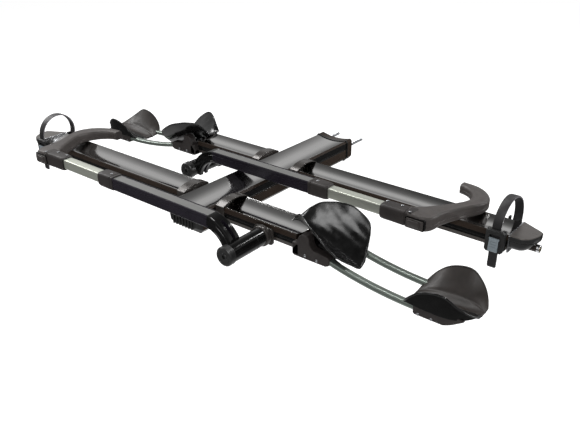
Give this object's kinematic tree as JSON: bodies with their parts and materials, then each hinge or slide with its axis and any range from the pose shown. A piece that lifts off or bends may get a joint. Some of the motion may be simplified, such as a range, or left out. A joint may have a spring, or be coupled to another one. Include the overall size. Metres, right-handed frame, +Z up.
{
  "type": "hitch mounted bike rack",
  "caption": "Platform bike rack on a central spine: crossing wheel trays, folding hook arms that clamp a front wheel, moulded front-wheel chocks, sliding rear-wheel straps and a studded flange.",
  "frame": {"origin": "centre of the flange's mating face at the spine's vehicle end", "axes": "+X along the trays, +Y along the spine towards the vehicle (out of the flange), +Z up"},
  "size_m": [1.554, 0.848, 0.1672],
  "materials": {
    "tray_metal": "glossy metallic pewter",
    "cast_metal": "satin metallic pewter",
    "arm_paint": "satin metallic grey",
    "slide_metal": "satin anodised silver",
    "bar_metal": "satin anodised grey",
    "steel": "bright zinc",
    "moulded": "fine moulded texture",
    "chock_gloss": "high gloss black",
    "button_plastic": "satin",
    "strap_rubber": "ladder texture",
    "strap_plastic": "satin black",
    "lever_plastic": "satin grey",
    "gasket_rubber": "matte",
    "lock_chrome": "polished",
    "lock_brass": "satin"
  },
  "bodies": {
    "frame": {"spine_beam": "tray_metal", "spine_end_plug": "strap_plastic", "flange_gasket": "gasket_rubber", "flange_plate": "cast_metal", "flange_studs": "steel", "cradle_rivets": "steel", "tray_front_beam_1": "tray_metal", "tray_rear_beam_1": "tray_metal", "tray_socket_front_1": "cast_metal", "tray_socket_rear_1": "cast_metal", "cradle_yoke_1": "moulded", "cradle_bar_near_1": "bar_metal", "cradle_bar_far_1": "bar_metal", "outer_chock_bracket_1": "moulded", "outer_chock_1": "chock_gloss", "arm_pivot_mount_1": "cast_metal", "arm_pivot_shaft_1": "steel", "tray_end_cap_1": "strap_plastic", "lock_body_1": "lock_chrome", "tray_front_beam_2": "tray_metal", "tray_rear_beam_2": "tray_metal", "tray_socket_front_2": "cast_metal", "tray_socket_rear_2": "cast_metal", "cradle_yoke_2": "moulded", "cradle_bar_near_2": "bar_metal", "cradle_bar_far_2": "bar_metal", "outer_chock_bracket_2": "moulded", "outer_chock_2": "chock_gloss", "arm_pivot_mount_2": "cast_metal", "arm_pivot_shaft_2": "steel", "tray_end_cap_2": "strap_plastic", "lock_body_2": "lock_chrome"},
    "arm_1": {"arm_tube_1": "arm_paint", "arm_barrel_1": "arm_paint", "arm_end_cap_1": "moulded", "arm_collar_1": "moulded"},
    "slide_1": {"slide_tube_1": "slide_metal", "hook_head_1": "moulded", "head_screws_1": "steel"},
    "button_1": {"release_button_1": "button_plastic"},
    "chock_1": {"inner_chock_1": "chock_gloss"},
    "carriage_1": {"strap_carriage_1": "moulded", "wheel_strap_1": "strap_rubber", "buckle_frame_1": "strap_plastic"},
    "lever_1": {"buckle_lever_1": "lever_plastic"},
    "key_1": {"lock_cylinder_1": "lock_brass"},
    "arm_2": {"arm_tube_2": "arm_paint", "arm_barrel_2": "arm_paint", "arm_end_cap_2": "moulded", "arm_collar_2": "moulded"},
    "slide_2": {"slide_tube_2": "slide_metal", "hook_head_2": "moulded", "head_screws_2": "steel"},
    "button_2": {"release_button_2": "button_plastic"},
    "chock_2": {"inner_chock_2": "chock_gloss"},
    "carriage_2": {"strap_carriage_2": "moulded", "wheel_strap_2": "strap_rubber", "buckle_frame_2": "strap_plastic"},
    "lever_2": {"buckle_lever_2": "lever_plastic"},
    "key_2": {"lock_cylinder_2": "lock_brass"}
  },
  "joints": [
    {"name": "arm_1_fold", "type": "hinge", "parent": "frame", "child": "arm_1", "pos_m": [-0.221, -0.393, 0.002], "axis": [0, -1, 0], "range_deg": [0, 125]},
    {"name": "arm_1_extend", "type": "slide", "parent": "arm_1", "child": "slide_1", "axis": [1, 0, 0], "range_m": [-0.15, 0.02]},
    {"name": "release_button_1_press", "type": "slide", "parent": "slide_1", "child": "button_1", "axis": [0, 1, 0], "range_m": [0, 0.004], "stiffness_N_per_m": 400},
    {"name": "inner_chock_1_tilt", "type": "hinge", "parent": "frame", "child": "chock_1", "pos_m": [-0.356, -0.273, 0.013], "axis": [0, 1, 0], "range_deg": [0, 12]},
    {"name": "strap_carriage_1_slide", "type": "slide", "parent": "frame", "child": "carriage_1", "axis": [-1, 0, 0], "range_m": [0, 0.025]},
    {"name": "buckle_lever_1_lift", "type": "hinge", "parent": "carriage_1", "child": "lever_1", "pos_m": [0.686, -0.3375, 0.023], "axis": [-1, 0, 0], "range_deg": [0, 60], "stiffness_Nm_per_rad": 0.2},
    {"name": "lock_cylinder_1_turn", "type": "hinge", "parent": "frame", "child": "key_1", "pos_m": [0.77, -0.273, -0.001], "axis": [1, 0, 0], "range_deg": [0, 90]},
    {"name": "arm_2_fold", "type": "hinge", "parent": "frame", "child": "arm_2", "pos_m": [0.221, -0.698, 0.002], "axis": [0, 1, 0], "range_deg": [0, 125]},
    {"name": "arm_2_extend", "type": "slide", "parent": "arm_2", "child": "slide_2", "axis": [-1, 0, 0], "range_m": [-0.15, 0.02]},
    {"name": "release_button_2_press", "type": "slide", "parent": "slide_2", "child": "button_2", "axis": [0, 1, 0], "range_m": [0, 0.004], "stiffness_N_per_m": 400},
    {"name": "inner_chock_2_tilt", "type": "hinge", "parent": "frame", "child": "chock_2", "pos_m": [0.356, -0.578, 0.013], "axis": [0, -1, 0], "range_deg": [0, 12]},
    {"name": "strap_carriage_2_slide", "type": "slide", "parent": "frame", "child": "carriage_2", "axis": [1, 0, 0], "range_m": [0, 0.025]},
    {"name": "buckle_lever_2_lift", "type": "hinge", "parent": "carriage_2", "child": "lever_2", "pos_m": [-0.686, -0.6425, 0.023], "axis": [-1, 0, 0], "range_deg": [0, 60], "stiffness_Nm_per_rad": 0.2},
    {"name": "lock_cylinder_2_turn", "type": "hinge", "parent": "frame", "child": "key_2", "pos_m": [-0.77, -0.578, -0.001], "axis": [-1, 0, 0], "range_deg": [0, 90]}
  ]
}
